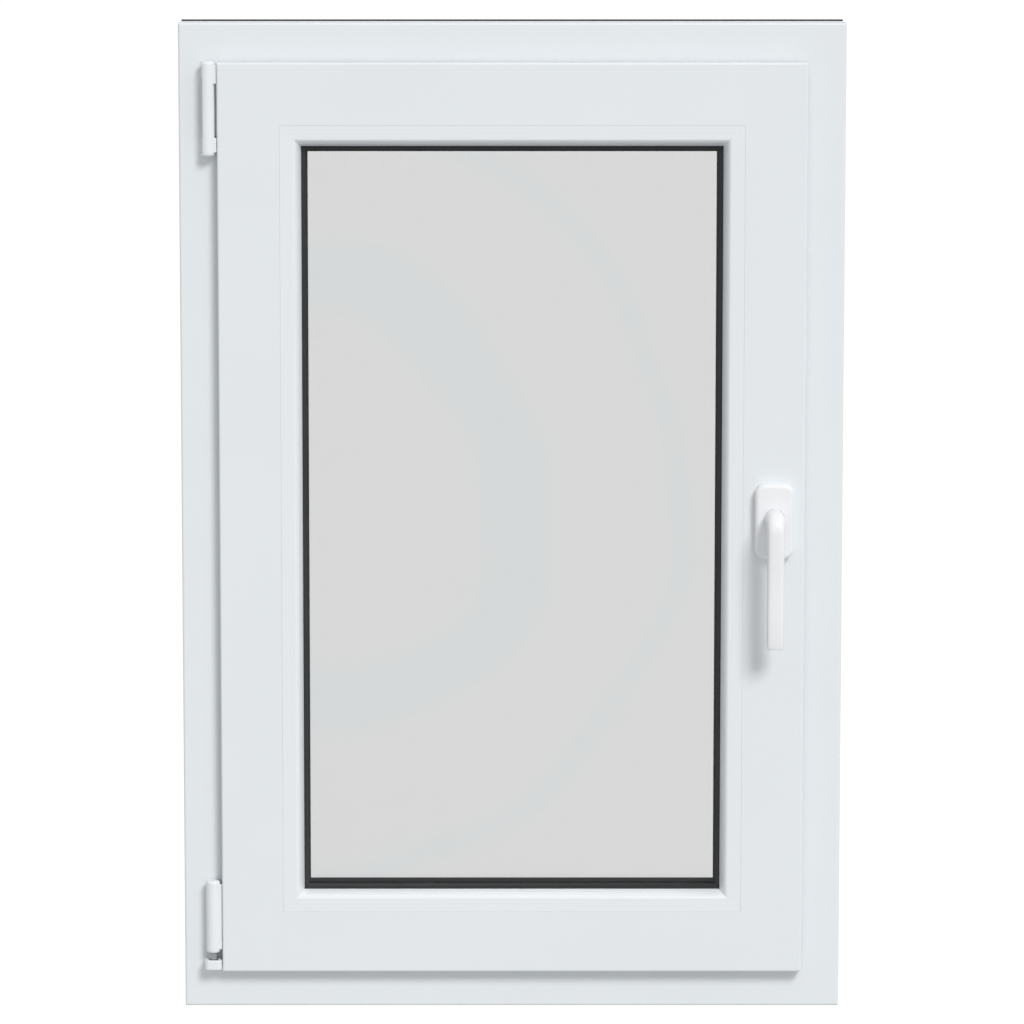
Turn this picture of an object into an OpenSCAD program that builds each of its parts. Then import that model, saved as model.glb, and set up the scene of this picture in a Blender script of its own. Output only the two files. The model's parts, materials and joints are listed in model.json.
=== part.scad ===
// Tilt-and-turn casement window in white uPVC, double glazed, opening inwards.
// X runs along the width, Y from the room to the outdoors, Z up, and the origin is the middle of the
// sill's underside. Seen from the room, along +Y, the hinges are on the left and the handle on the right.
// The modules are drawn with the frame's room face at y = 0, and placed() moves them to the origin.

/* [Overall size] */
// Width of the outer frame
win_w = 600; // [540:10:900]
// Height of the outer frame
win_h = 900; // [860:10:1300]

/* [Frame profile] */
// Depth of the frame, room face to outdoor face
frame_d = 60; // [56:1:80]
// Height of the profile's room-side web, from its outer edge to the rebate
frame_web = 43; // [40:1:55]
// Further height of the outdoor upstand that the sash closes on
upstand_h = 21; // [18:1:26]
// Thickness of the outdoor upstand
upstand_t = 13; // [12:1:16]
// Outer wall of every hollow profile
wall = 3; // [2.5:0.1:3.2]

/* [Sash profile] */
// How far the sash's lip laps over the frame's room face
overlap = 8; // [7:0.5:9]
// Gap between the sash and the frame's rebate, where the fittings run
fitting_gap = 12; // [11.5:0.5:13]
// How far the sash's face stands in front of the frame's
sash_proud = 15.4; // [14:0.2:17]
// Gap under the lip and behind the sash, which the seals fill
seal_gap = 3; // [2.8:0.1:3.5]
// Width of the sash's face, from its edge to the glazing bead
sash_face = 56; // [54:1:66]
// Width of the glazing bead's face
bead_w = 19; // [16:1:24]
// Edge rounding of the profiles
edge_r = 2; // [1:0.5:2.5]

/* [Glazing] */
// Thickness of each glass pane
pane_t = 4; // [3:0.5:5]
// Width of the gas space between the panes
cavity = 16; // [12:1:20]
// Gap all round the glass unit, where the packers sit
glass_clear = 5; // [4:0.5:6]
// Thickness of the glazing seals
glazing_seal_t = 3; // [2:0.5:4]
// Visible width of the glazing seals
seal_show = 5; // [3:0.5:7]

/* [Handle] */
// Height of the handle's spindle above the underside
handle_z = 455; // [420:5:480]
// Distance of the spindle from the sash's edge
backset = 28; // [28:0.5:34]
// Length of the lever from the spindle to its tip
lever_l = 116; // [95:1:135]
// How far the lever's front stands off the sash's face
lever_proud = 41.5; // [38:0.5:48]
// Width of the lever's grip
lever_w = 14.6; // [12:0.2:16]
// Width of the rosette
rosette_w = 35; // [33:1:38]
// Height of the rosette
rosette_h = 68; // [64:1:76]
// Depth of the rosette
rosette_d = 11; // [9:0.5:12]

/* [Hinges] */
// Distance of the turning axis from the sash's edge
hinge_out = 8.5; // [8:0.5:9]
// Radius of the hinge covers
cover_r = 6.5; // [6.4:0.1:7]
// Height of the cover over the stay hinge
stay_cover_h = 85; // [80:1:110]
// Height of the cover over the corner hinge
strap_cover_h = 68; // [60:1:90]
// Length of the stay arm, from its pivot to its slider
stay_l = 287.5; // [240:0.5:320]

/* [Lock] */
// Pitch radius of the handle's drive pinion
pinion_r = 6.4; // [6.2:0.1:6.6]
// Number of teeth on the pinion
pinion_teeth = 8; // [8:1:9]

/* [Fixing] */
// Diameter of the frame screw holes
fixing_d = 7.5; // [6:0.5:9]
// Distance between the frame screw holes of one jamb
fixing_pitch = 600; // [500:10:700]

/* [Hidden] */
$fn = 48;

white = [0.89, 0.90, 0.91];
black = [0.10, 0.10, 0.10];
steel = [0.70, 0.71, 0.73];
zinc = [0.62, 0.63, 0.66];
glass = [0.75, 0.82, 0.80, 0.4];

mid_z = win_h / 2;
rebate_d = frame_d - upstand_t;
sash_edge = frame_web - overlap;              // frame edge to sash edge
sash_w = win_w - 2 * sash_edge;
sash_h = win_h - 2 * sash_edge;
lip_w = overlap + fitting_gap;                // width of the sash's lip
face_y = -sash_proud;                         // sash's room face
lip_y = -seal_gap;                            // back of the lip
back_y = rebate_d - seal_gap;                 // sash's outdoor face
bead_u = sash_face + bead_w;                  // sash edge to the bead's inner edge
bead_t = sash_proud - glazing_seal_t;         // the glass front is level with the frame's face
unit_t = 2 * pane_t + cavity;
flange_y = unit_t + glazing_seal_t;
unit_u = sash_face + glass_clear;             // sash edge to the glass unit's edge

groove_y = 10;                                // middle of the fittings groove
plate_w = 16;                                 // faceplates, flush in the groove
plate_t = 3;
slot_w = 12;                                  // rod channel under the faceplate
slot_d = 5.5;
rod_w = 10;
rod_t = 3;
rod_u = lip_w + plate_t + 1;                  // sash edge to the rod's outer side
web = 2;                                      // inner webs of the hollow profiles

steel_gap_end = 70;                           // steel stops short of the mitres
steel_wall = 1.5;
frame_steel_y = [14, 42];
fixing_y = (frame_steel_y[0] + frame_steel_y[1]) / 2;
sash_steel_u = [lip_w + 11, sash_face - wall];
sash_steel_y = [-3, flange_y - wall];

handle_x = sash_w / 2 - backset;
rosette_drop = 3;                             // rosette's middle below the spindle
neck_r = 9;
square = 7;                                   // spindle across its flats
screw_pitch = 43;                             // handle screws
screw_r = 2.5;                                // handle screws
case_u = [lip_w + plate_t + slot_d, backset + pinion_r + 10.1];   // the rack and its wall behind the pinion
case_y = [groove_y - 6.5, groove_y + 6.5];
travel = PI * pinion_r;                       // rod travel for half a turn
arm_h = 5;                                    // arms between the rack and the rod
rack_up = screw_pitch / 2 + screw_r + 0.6;    // upper arm above the spindle, clear of the screw
rack_down = rack_up + travel;                 // lower arm below the spindle, clear of it after the travel
case_half = rack_down + arm_h + 2;            // half the gearbox's height
tooth_pitch = 2 * PI * pinion_r / pinion_teeth;
run = 0.05;                                   // running clearance on a radius
gap = 0.4;                                    // free clearance between moving pieces

axis_x = -(sash_w / 2 + hinge_out);           // turning axis
axis_y = -hinge_out;
tilt_z = sash_edge + 6;                       // tilting axis
knuckle_r = 5.5;
lug_r = 5.2;
stay_top = win_h - sash_edge + 1;             // top of the stay cover
stay_bottom = stay_top - stay_cover_h;
arm_z = sash_h + sash_edge - lip_w + 2.5;     // underside of the stay arm, clear of the tilting sash
arm_t = 3;
arm_w = 12;
leaf_y = [lip_y + gap, lip_y + gap + 2];      // stay's leaf in the gap behind the lip
slider_y = groove_y - 1;
slider_x = axis_x + sqrt(pow(stay_l, 2) - pow(slider_y - axis_y, 2));
slider_r = 4;
strap_z = tilt_z + 10;                        // bottom of the strap cover
pin_r = 3;                                    // corner hinge pin
stay_pin_r = 2.5;

cams_z = [-205, 245];                         // lock cams, from the middle
cam_side = 90;                                // cams of the top and bottom rods, from the lock edge
cam_r = 6;
cam_gap = 2;                                  // faceplate to the cam's head
cam_t = 2.5;

// ---------- helpers ----------

// A rectangle in a profile's section: u inwards from the outer edge, y in depth.
module cell(u, y) {
    translate([y[0], -u[1]]) square([y[1] - y[0], u[1] - u[0]]);
}

// What a round edge takes off a square corner that points towards -y and +z.
module round_off(u, y, r) {
    translate([y, -u]) difference() {
        translate([-1, -r]) square([r + 1, r + 1]);
        translate([r, -r]) circle(r);
    }
}

// A bar of the given section with mitred ends, its outer edge at z = 0 facing up.
module mitred(length, reach, depth) {
    intersection() {
        rotate([90, 0, 90]) linear_extrude(length, center = true) children();
        translate([0, depth[1], 0]) rotate([90, 0, 0]) linear_extrude(depth[1] - depth[0])
            polygon([[-length / 2, 0], [length / 2, 0], [length / 2 - reach, -reach],
                [-length / 2 + reach, -reach]]);
    }
}

// Puts a piece on one side of a w by h rectangle: 0 top, 1 right, 2 bottom, 3 left.
module on_side(side, w, h) {
    translate([0, 0, mid_z]) rotate([0, 90 * side, 0])
        translate([0, 0, (side % 2 == 0 ? h : w) / 2]) children();
}

function side_length(side, w, h) = side % 2 == 0 ? w : h;

module box(x, y, z) {
    translate([x[0], y[0], z[0]]) cube([x[1] - x[0], y[1] - y[0], z[1] - z[0]]);
}

// A cylinder along Y from y0 to y1.
module rod_y(x, z, r, y0, y1) {
    translate([x, y0, z]) rotate([-90, 0, 0]) cylinder(h = y1 - y0, r = r);
}

// A cylinder along X from x0 to x1.
module rod_x(y, z, r, x0, x1) {
    translate([x0, y, z]) rotate([0, 90, 0]) cylinder(h = x1 - x0, r = r);
}

// A cylinder along Z from z0 to z1.
module rod_z(x, y, r, z0, z1) {
    translate([x, y, z0]) cylinder(h = z1 - z0, r = r);
}

// ---------- outer frame ----------

module frame_section() {
    difference() {
        union() {
            cell([0, frame_web], [0, frame_d]);
            cell([0, frame_web + upstand_h], [rebate_d, frame_d]);
        }
        round_off(0, 0, edge_r);
        cell([wall, frame_web - wall], [wall, frame_steel_y[0] - web]);
        cell([wall, frame_web - wall], frame_steel_y);
        cell([wall, frame_web - wall], [frame_steel_y[1] + web, frame_d - wall]);
        cell([frame_web, frame_web + upstand_h - wall], [rebate_d + wall, frame_d - wall]);
    }
}

module frame_member(side) {
    color(white) difference() {
        on_side(side, win_w, win_h)
            mitred(side_length(side, win_w, win_h), frame_web + upstand_h, [0, frame_d]) frame_section();
        keeper_pilots();
        if (side == 3) bearing_pilots();
        if (side % 2 == 1) fixing_holes();
    }
}

module fixing_holes() {
    for (x = [-win_w / 2 - 1, win_w / 2 - frame_web - 1], t = [-1, 1])
        rod_x(fixing_y, mid_z + t * fixing_pitch / 2, fixing_d / 2, x, x + frame_web + 2);
}

module frame_reinforcement() {
    color(steel) difference() {
        for (side = [0:3]) on_side(side, win_w, win_h)
            rotate([90, 0, 90])
                linear_extrude(side_length(side, win_w, win_h) - 2 * steel_gap_end, center = true)
                difference() {
                    cell([wall, frame_web - wall], frame_steel_y);
                    cell([wall + steel_wall, frame_web - wall - steel_wall],
                        [frame_steel_y[0] + steel_wall, frame_steel_y[1] - steel_wall]);
                }
        fixing_holes();
    }
}

// Seal strip on the upstand that the back of the sash closes on.
module frame_seal() {
    inset = 8;                                // from the upstand's edge
    strip_w = 6;
    tip_y = back_y + 0.6;                     // just clear of the sash
    u = frame_web + upstand_h - inset;
    color(black) for (side = [0:3])
        on_side(side, win_w - 2 * u, win_h - 2 * u)
            mitred(side_length(side, win_w - 2 * u, win_h - 2 * u), strip_w, [back_y, rebate_d])
                polygon([[rebate_d, 0], [tip_y, -strip_w / 3], [tip_y, -strip_w * 2 / 3], [rebate_d, -strip_w]]);
}

// Rubber strip along the top of the head, towards the outdoors.
module head_seal() {
    strip_t = 1.4;
    strip_w = 5;
    outer_y = frame_d - 2;
    color(black) box([-win_w / 2, win_w / 2], [outer_y - strip_w, outer_y], [win_h, win_h + strip_t]);
}

module drainage_caps() {
    from_side = 150;
    half = [14, 5];                           // half width and half height
    hood_half = 11;
    base_t = 2.5;
    hood_t = 1.5;
    color(white) for (s = [-1, 1]) translate([s * (win_w / 2 - from_side), frame_d, frame_web / 2]) {
        box([-half[0], half[0]], [0, base_t], [-half[1], half[1]]);
        box([-hood_half, hood_half], [base_t, base_t + hood_t], [-1, half[1]]);
    }
}

// ---------- keepers on the frame ----------

// Places a keeper in the rebate: x runs along the frame, y in depth and z out of the rebate's face.
module in_rebate(side, along) {
    on_side(side, win_w - 2 * frame_web, win_h - 2 * frame_web) translate([along, 0, 0])
        mirror([0, 0, 1]) children();
}

// Side and place along it of each keeper, in the direction of on_side.
rod_cam_x = sash_w / 2 - lip_w - cam_side;
keepers = [[1, -cams_z[0] - travel / 2], [1, -cams_z[1] - travel / 2],
    [0, rod_cam_x - travel / 2], [2, -rod_cam_x - travel / 2]];

keeper_half = 27;
keeper_screw_x = 23;
keeper_y = [2, 24];
keeper_t = 2;
stop_half = 20;                               // raised stop behind the cam
stop_h = 4;
stop_w = 3.5;
pilot_r = 2;                                  // fitting screws' thread
head_r = 3.4;

module keeper_pilots() {
    for (k = keepers, s = [-1, 1]) in_rebate(k[0], k[1])
        translate([s * keeper_screw_x, groove_y, -wall - 1]) cylinder(h = wall + 1, r = pilot_r + run);
}

module strike_plates() {
    stop_y = groove_y + cam_r + 1.5;
    color(zinc) for (k = keepers) in_rebate(k[0], k[1]) difference() {
        union() {
            box([-keeper_half, keeper_half], keeper_y, [0, keeper_t]);
            box([-stop_half, stop_half], [stop_y, stop_y + stop_w], [keeper_t, keeper_t + stop_h]);
        }
        for (s = [-1, 1]) translate([s * keeper_screw_x, groove_y, -1]) cylinder(h = keeper_t + 2, r = pilot_r + 0.1);
    }
}

module strike_screws() {
    color(steel) for (k = keepers, s = [-1, 1]) in_rebate(k[0], k[1])
        translate([s * keeper_screw_x, groove_y, -wall]) {
            cylinder(h = wall + keeper_t, r = pilot_r);
            translate([0, 0, wall + keeper_t]) cylinder(h = 1.2, r = head_r);
        }
}

// ---------- corner hinge, frame side ----------

bearing_half = 6.6;                           // half width of the bracket
yoke_half = 4;                                // half width of the pivot block
bearing_cover_r = 8;                          // less than the sash edge's distance from the axis
bearing_z = [tilt_z - 4.4, tilt_z + 4.4];
cheek_in = yoke_half + 0.3;                   // inner face of the bracket's cheeks, clear of the block
cross_r = 1.5;                                // cross pin the sash tilts on
foot_t = 2;                                   // bracket's foot on the frame

module corner_bearing() {
    color(zinc) difference() {
        union() {
            box([axis_x - bearing_half, axis_x + bearing_half], [-foot_t, 0], [bearing_z[0] + 1, bearing_z[1] - 1]);
            for (x = [[axis_x - bearing_half, axis_x - cheek_in], [axis_x + cheek_in, axis_x + bearing_half]])
                box(x, [axis_y - 2.7, -foot_t], [tilt_z - 2.8, tilt_z + 2.8]);
        }
        rod_x(axis_y, tilt_z, cross_r + run, axis_x - 10, axis_x + 10);
        rod_y(axis_x, tilt_z, 1.6, -foot_t - 1, 1);
    }
}

module corner_tilt_pin() {
    color(steel) rod_x(axis_y, tilt_z, cross_r, axis_x - bearing_half, axis_x + bearing_half);
}

module corner_bearing_cover() {
    shell_t = 0.8;
    inner = bearing_cover_r - shell_t;
    inner_z = [bearing_z[0] + shell_t, bearing_z[1] - shell_t];
    color(white) difference() {
        union() {
            rod_z(axis_x, axis_y, bearing_cover_r, bearing_z[0], bearing_z[1]);
            box([axis_x - bearing_cover_r, axis_x + bearing_cover_r], [axis_y, 0], bearing_z);
        }
        rod_z(axis_x, axis_y, inner, inner_z[0], inner_z[1]);
        box([axis_x - inner, axis_x + inner], [axis_y, 1], inner_z);
        for (dy = [0, 0.9]) rod_z(axis_x, axis_y - dy, pin_r + 0.6, tilt_z, bearing_z[1] + 1);
    }
}

// Block that tilts about the cross pin and carries the upright pin the sash turns on.
module corner_pivot() {
    color(steel) difference() {
        union() {
            box([axis_x - yoke_half, axis_x + yoke_half], [axis_y - 3.8, axis_y + 3], [tilt_z - 2.5, tilt_z + 2.8]);
            rod_z(axis_x, axis_y, pin_r, tilt_z + 2, strap_z + 26);
            rod_z(axis_x, axis_y, 4.2, tilt_z + 5.6, strap_z + 0.2);
        }
        rod_x(axis_y, tilt_z, cross_r + run, axis_x - 10, axis_x + 10);
    }
}

// ---------- stay hinge, frame side ----------

lug_z = [[stay_bottom + 4, stay_bottom + 16.5], [stay_top - 14.5, stay_top - 4]];
knuckle_z = [lug_z[0][1] + 0.5, lug_z[1][0] - 0.5];
bar_x = [axis_x - 5.2, axis_x - 1.7];         // bar on the frame that joins the lugs
bar_t = 1.8;
lug_screw_x = axis_x - 3.6;
lug_screw_r = 0.8;

module stay_bearing() {
    color(zinc) difference() {
        union() {
            box(bar_x, [-bar_t, 0], [lug_z[0][0], lug_z[1][1]]);
            for (z = lug_z) {
                rod_z(axis_x, axis_y, lug_r, z[0], z[1]);
                box([axis_x - 2.5, axis_x + 2], [axis_y, 0], z);
                box([bar_x[0], axis_x + 2], [-bar_t, 0], z);
            }
        }
        rod_z(axis_x, axis_y, stay_pin_r + run, stay_bottom, stay_top);
        for (z = lug_z) rod_y(lug_screw_x, (z[0] + z[1]) / 2, lug_screw_r + 0.1, -3, 1);
    }
}

module stay_pivot_pin() {
    color(steel) rod_z(axis_x, axis_y, stay_pin_r, lug_z[0][0], lug_z[1][1]);
}

module bearing_screws() {
    color(steel) {
        rod_y(axis_x, tilt_z, 1.5, -foot_t - 1.2, wall);
        rod_y(axis_x, tilt_z, 2.4, -foot_t - 1.2, -foot_t);
        for (z = lug_z) rod_y(lug_screw_x, (z[0] + z[1]) / 2, lug_screw_r, -bar_t, wall);
    }
}

module bearing_pilots() {
    rod_y(axis_x, tilt_z, 1.5 + run, -1, wall + 1);
    for (z = lug_z) rod_y(lug_screw_x, (z[0] + z[1]) / 2, lug_screw_r + run, -1, wall + 1);
}

// ---------- sash ----------

module sash_section() {
    difference() {
        union() {
            cell([0, lip_w], [face_y, lip_y]);
            cell([lip_w, sash_face], [face_y, back_y]);
            cell([sash_face, bead_u], [flange_y, back_y]);
        }
        round_off(0, face_y, edge_r);
        cell([lip_w, lip_w + plate_t], [groove_y - plate_w / 2, groove_y + plate_w / 2]);
        cell([lip_w, lip_w + plate_t + slot_d], [groove_y - slot_w / 2, groove_y + slot_w / 2]);
        cell([wall, sash_face - wall], [face_y + wall, lip_y - wall]);
        cell(sash_steel_u, sash_steel_y);
        cell([lip_w + wall, sash_face - wall], [flange_y, back_y - wall]);
        cell([sash_face, bead_u - wall], [flange_y + wall, back_y - wall]);
    }
}

module sash_member(side) {
    color(white) on_side(side, sash_w, sash_h)
        mitred(side_length(side, sash_w, sash_h), bead_u, [face_y, back_y]) sash_section();
}

// Pocket and holes for the gearbox, the spindle and the handle screws.
module lock_pocket(clear) {
    box([sash_w / 2 - case_u[1] - clear, sash_w / 2 - lip_w - plate_t - clear],
        [case_y[0] - clear, case_y[1] + clear], [handle_z - case_half - clear, handle_z + case_half + clear]);
    rod_y(handle_x, handle_z, 7, face_y - 1, case_y[0]);
    for (s = [-1, 1]) rod_y(handle_x, handle_z + s * screw_pitch / 2, 2.8, face_y - 1, case_y[0]);
}

module sash_lock_stile() {
    difference() {
        sash_member(1);
        lock_pocket(0);
    }
}

module sash_reinforcement() {
    color(steel) difference() {
        for (side = [0:3]) on_side(side, sash_w, sash_h)
            rotate([90, 0, 90])
                linear_extrude(side_length(side, sash_w, sash_h) - 2 * (bead_u + 10), center = true)
                difference() {
                    cell(sash_steel_u, sash_steel_y);
                    cell([sash_steel_u[0] + steel_wall, sash_steel_u[1] - steel_wall],
                        [sash_steel_y[0] + steel_wall, sash_steel_y[1] - steel_wall]);
                }
        lock_pocket(1);
    }
}

// Seal strip under the lip. It leaves room for the two hinges.
module sash_seal() {
    u = 2.5;
    w = sash_w - 2 * u;
    h = sash_h - 2 * u;
    y = lip_y + seal_gap - 0.8;
    color(black) difference() {
        for (side = [0:3]) on_side(side, w, h)
            mitred(side_length(side, w, h), 5, [lip_y, y])
                polygon([[lip_y, 0], [y, -1.5], [y, -3.5], [lip_y, -5]]);
        box([-sash_w / 2, -sash_w / 2 + lip_w], [lip_y - 1, 1], [stay_bottom - 4, stay_top]);
        box([-sash_w / 2, -sash_w / 2 + lip_w], [lip_y - 1, 1], [0, strap_z + strap_cover_h + 4]);
    }
}

// ---------- glazing ----------

module bead_section() {
    top = face_y;
    foot = bead_t + top;
    polygon([[top, -sash_face], [top + 0.3, -sash_face - bead_w * 0.64], [top + 1.1, -sash_face - bead_w * 0.8],
        [top + 3, -sash_face - bead_w * 0.92], [top + 6.5, -bead_u + 0.4], [foot, -bead_u],
        [foot, -sash_face - 3], [foot + 8, -sash_face - 3], [foot + 8, -sash_face]]);
}

module glazing_bead(side) {
    color(white) on_side(side, sash_w, sash_h)
        intersection() {
            mitred(side_length(side, sash_w, sash_h), bead_u, [face_y, bead_t + face_y + 8]) bead_section();
            box([-win_w - win_h, win_w + win_h], [face_y, back_y], [-bead_u, -sash_face]);
        }
}

module glazing_seal(front, sign) {
    u = unit_u + 3;
    far = front + sign * glazing_seal_t;
    show = bead_u + seal_show;
    low = min(front, far);
    color(black) for (side = [0:3]) on_side(side, sash_w, sash_h)
        mitred(side_length(side, sash_w, sash_h), show, [low, low + glazing_seal_t])
            polygon([[front, -u], [front, -show], [front + sign * 1, -show], [far, -bead_u - 1], [far, -u]]);
}

module unit_slab(u, y) {
    box([-sash_w / 2 + u, sash_w / 2 - u], y, [sash_edge + u, win_h - sash_edge - u]);
}

module unit_ring(u0, u1, y) {
    difference() {
        unit_slab(u0, y);
        unit_slab(u1, [y[0] - 1, y[1] + 1]);
    }
}

spacer_u = [unit_u + 4, unit_u + 11];

module glazing_packers() {
    u = (unit_u + sash_face) / 2;
    spot = 60;
    color([0.20, 0.35, 0.55]) for (side = [0:3], s = [-1, 1])
        on_side(side, sash_w - 2 * sash_face, sash_h - 2 * sash_face)
            translate([s * (side_length(side, sash_w, sash_h) / 2 - unit_u - spot), 0, 0])
                box([-30, 30], [bead_t + face_y + 10, flange_y - 1], [-glass_clear, 0]);
}

// ---------- corner hinge, sash side ----------

strap_knuckle_z = [strap_z + 1, strap_z + strap_cover_h - 1.5];
strap_screw_z = [strap_z + 18, strap_z + 36, strap_z + 54];
bush_r = 4;                                   // bush in the strap's knuckle
bush_top = strap_z + 25;
strap_t = 2;
web_x = 4.6;                                  // web that joins each knuckle to its leaf
leaf_x = -sash_w / 2 + lip_w;                 // side of the sash's body

module hinge_strap() {
    color(zinc) difference() {
        union() {
            rod_z(axis_x, axis_y, knuckle_r, strap_knuckle_z[0], strap_knuckle_z[1]);
            box([axis_x, axis_x + web_x], [axis_y + 3, lip_y + strap_t], [strap_z + 6, strap_knuckle_z[1]]);
            box([axis_x, leaf_x - 0.5], [lip_y, lip_y + strap_t], [strap_z + 6, strap_knuckle_z[1]]);
            box([leaf_x - 2.5, leaf_x], [lip_y, groove_y + plate_w / 2 + 2], [strap_z + 8, strap_knuckle_z[1]]);
        }
        rod_z(axis_x, axis_y, bush_r + run, strap_z, bush_top + 2);
        for (z = strap_screw_z) rod_x(groove_y, z, pilot_r + 0.1, leaf_x - 4, leaf_x + 1);
    }
}

module hinge_strap_bush() {
    color([0.85, 0.85, 0.82]) difference() {
        rod_z(axis_x, axis_y, bush_r, strap_z + 0.5, bush_top);
        rod_z(axis_x, axis_y, pin_r + run, strap_z, bush_top + 1);
    }
}

// Outline of a round-ended cover, for turning about its axis.
module cover_outline(z0, z1, r, end_r) {
    translate([0, z0 + end_r]) square([r, z1 - z0 - 2 * end_r]);
    translate([0, z0]) square([r - end_r, z1 - z0]);
    for (z = [z0 + end_r, z1 - end_r]) translate([r - end_r, z]) circle(end_r);
}

module cover_shell(z0, z1, inner_z, inner_r) {
    difference() {
        rotate_extrude() intersection() {
            cover_outline(z0, z1, cover_r, 3);
            translate([0, z0]) square([cover_r, z1 - z0]);
        }
        translate([0, 0, inner_z[0]]) cylinder(h = inner_z[1] - inner_z[0], r = inner_r);
    }
}

module hinge_strap_cover() {
    color(white) translate([axis_x, axis_y, 0]) difference() {
        cover_shell(strap_z, strap_z + strap_cover_h, [strap_z - 1, strap_z + strap_cover_h - 1], knuckle_r);
        box([0, 10], [3, 10], [strap_z + 6, strap_z + strap_cover_h - 1]);
    }
}

module hinge_strap_screws() {
    color(steel) for (z = strap_screw_z) {
        rod_x(groove_y, z, pilot_r, leaf_x - 2.5, leaf_x + plate_t + slot_d);
        rod_x(groove_y, z, head_r, leaf_x - 3.9, leaf_x - 2.5);
    }
}

// ---------- fittings in the sash's groove ----------

groove_top = win_h - sash_edge - lip_w;       // top of the sash's body
groove_right = sash_w / 2 - lip_w;            // side of the sash's body

module stay_rail() {
    x = [slider_x - 16, slider_x + 6];
    color(zinc) difference() {
        union() {
            box([-sash_w / 2 + bead_u + 20, stay_rail_end], [groove_y - plate_w / 2, groove_y + plate_w / 2],
                [groove_top - plate_t, groove_top]);
            box([x[0] - 2, x[1] + 2], [groove_y - slot_w / 2, groove_y + slot_w / 2],
                [groove_top - plate_t - slot_d, groove_top]);
        }
        box(x, [slider_y - slider_r - 1.5, slider_y + slider_r + 1.5],
            [groove_top - plate_t - slot_d + 1, groove_top + 1]);
    }
}

// Slots that the cams travel in.
module cam_slot(length) {
    for (d = [0, length]) translate([d, 0, -plate_t - 1]) cylinder(h = plate_t + 2, r = 3.6);
    translate([0, -3.6, -plate_t - 1]) cube([length, 7.2, plate_t + 2]);
}

module faceplate(x) {
    translate([x[0], groove_y - plate_w / 2, -plate_t]) cube([x[1] - x[0], plate_w, plate_t]);
}

plate_end = sash_h / 2 - lip_w - 4;           // the faceplates stop just short of the corners
rail_end = sash_w / 2 - lip_w - 4;
window_half = 12;                             // half the gearbox window in the faceplate
screw_in = 12;                                // faceplate screws from the plates' ends
case_screw = 95;                              // and on both sides of the spindle, clear of the gearbox
lock_screws = [-plate_end + screw_in, mid_z - handle_z - case_screw, mid_z - handle_z + case_screw,
    plate_end - screw_in];
stay_rail_end = slider_x + 60;
top_plate = [stay_rail_end + 0.5, rail_end];
top_screws = [top_plate[0] + screw_in, top_plate[1] - screw_in];
bottom_plate = [-rail_end, 0];
bottom_screws = [bottom_plate[0] + screw_in, bottom_plate[1] - screw_in];

module screw_holes(xs, r) {
    for (x = xs) translate([x, groove_y, -plate_t - slot_d - 1]) cylinder(h = plate_t + slot_d + 2, r = r);
}

module lock_faceplate() {
    color(zinc) on_side(1, sash_w - 2 * lip_w, sash_h - 2 * lip_w) difference() {
        faceplate([-plate_end, plate_end]);
        for (z = cams_z) translate([-z - travel - 0.5, groove_y, 0]) cam_slot(travel + 1);
        box([mid_z - handle_z - window_half, mid_z - handle_z + window_half], case_y, [-plate_t - 1, 1]);
        screw_holes(lock_screws, pilot_r + 0.1);
    }
}

module top_faceplate() {
    color(zinc) on_side(0, sash_w - 2 * lip_w, sash_h - 2 * lip_w) difference() {
        faceplate(top_plate);
        translate([rod_cam_x - travel - 0.5, groove_y, 0]) cam_slot(travel + 1);
        screw_holes(top_screws, pilot_r + 0.1);
    }
}

module bottom_faceplate() {
    color(zinc) on_side(2, sash_w - 2 * lip_w, sash_h - 2 * lip_w) difference() {
        faceplate(bottom_plate);
        translate([-rod_cam_x - travel - 0.5, groove_y, 0]) cam_slot(travel + 1);
        screw_holes(bottom_screws, pilot_r + 0.1);
    }
}

module faceplate_screw() {
    translate([0, groove_y, -plate_t - slot_d]) cylinder(h = plate_t + slot_d, r = pilot_r);
    translate([0, groove_y, 0]) cylinder(h = 1, r = 3.2);
}

module faceplate_screws() {
    rows = [[0, top_screws], [1, lock_screws], [2, bottom_screws]];
    color(steel) for (row = rows) on_side(row[0], sash_w - 2 * lip_w, sash_h - 2 * lip_w)
        for (x = row[1]) translate([x, 0, 0]) faceplate_screw();
}

case_x = [sash_w / 2 - case_u[1], sash_w / 2 - lip_w - plate_t];
rack_x = handle_x - pinion_r;                 // pitch line of the rack

// Half case with the pinion and the rack's channel in it, closed by its own lid on the room side.
module gearbox_case() {
    inner_y = [case_y[0] + 1.2, case_y[1] - 1.2];
    color(zinc) difference() {
        box(case_x, case_y, [handle_z - case_half, handle_z + case_half]);
        rod_y(handle_x, handle_z, pinion_r + 1.3, inner_y[0], inner_y[1]);
        box([rack_x - 6, rack_x + 1.5], inner_y, [handle_z - case_half - 1, handle_z + case_half + 1]);
        for (z = [-case_half - 1, rack_up - 0.3])
            box([rack_x - 6, case_x[1] + 1], inner_y, [handle_z + z, handle_z + z + case_half - rack_up + 1.3]);
        rod_y(handle_x, handle_z, neck_r / 2 + 0.9, case_y[0] - 1, case_y[1] + 1);
        for (s = [-1, 1])
            rod_y(handle_x, handle_z + s * screw_pitch / 2, screw_r + run, case_y[0] - 1, groove_y);
    }
}

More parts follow.
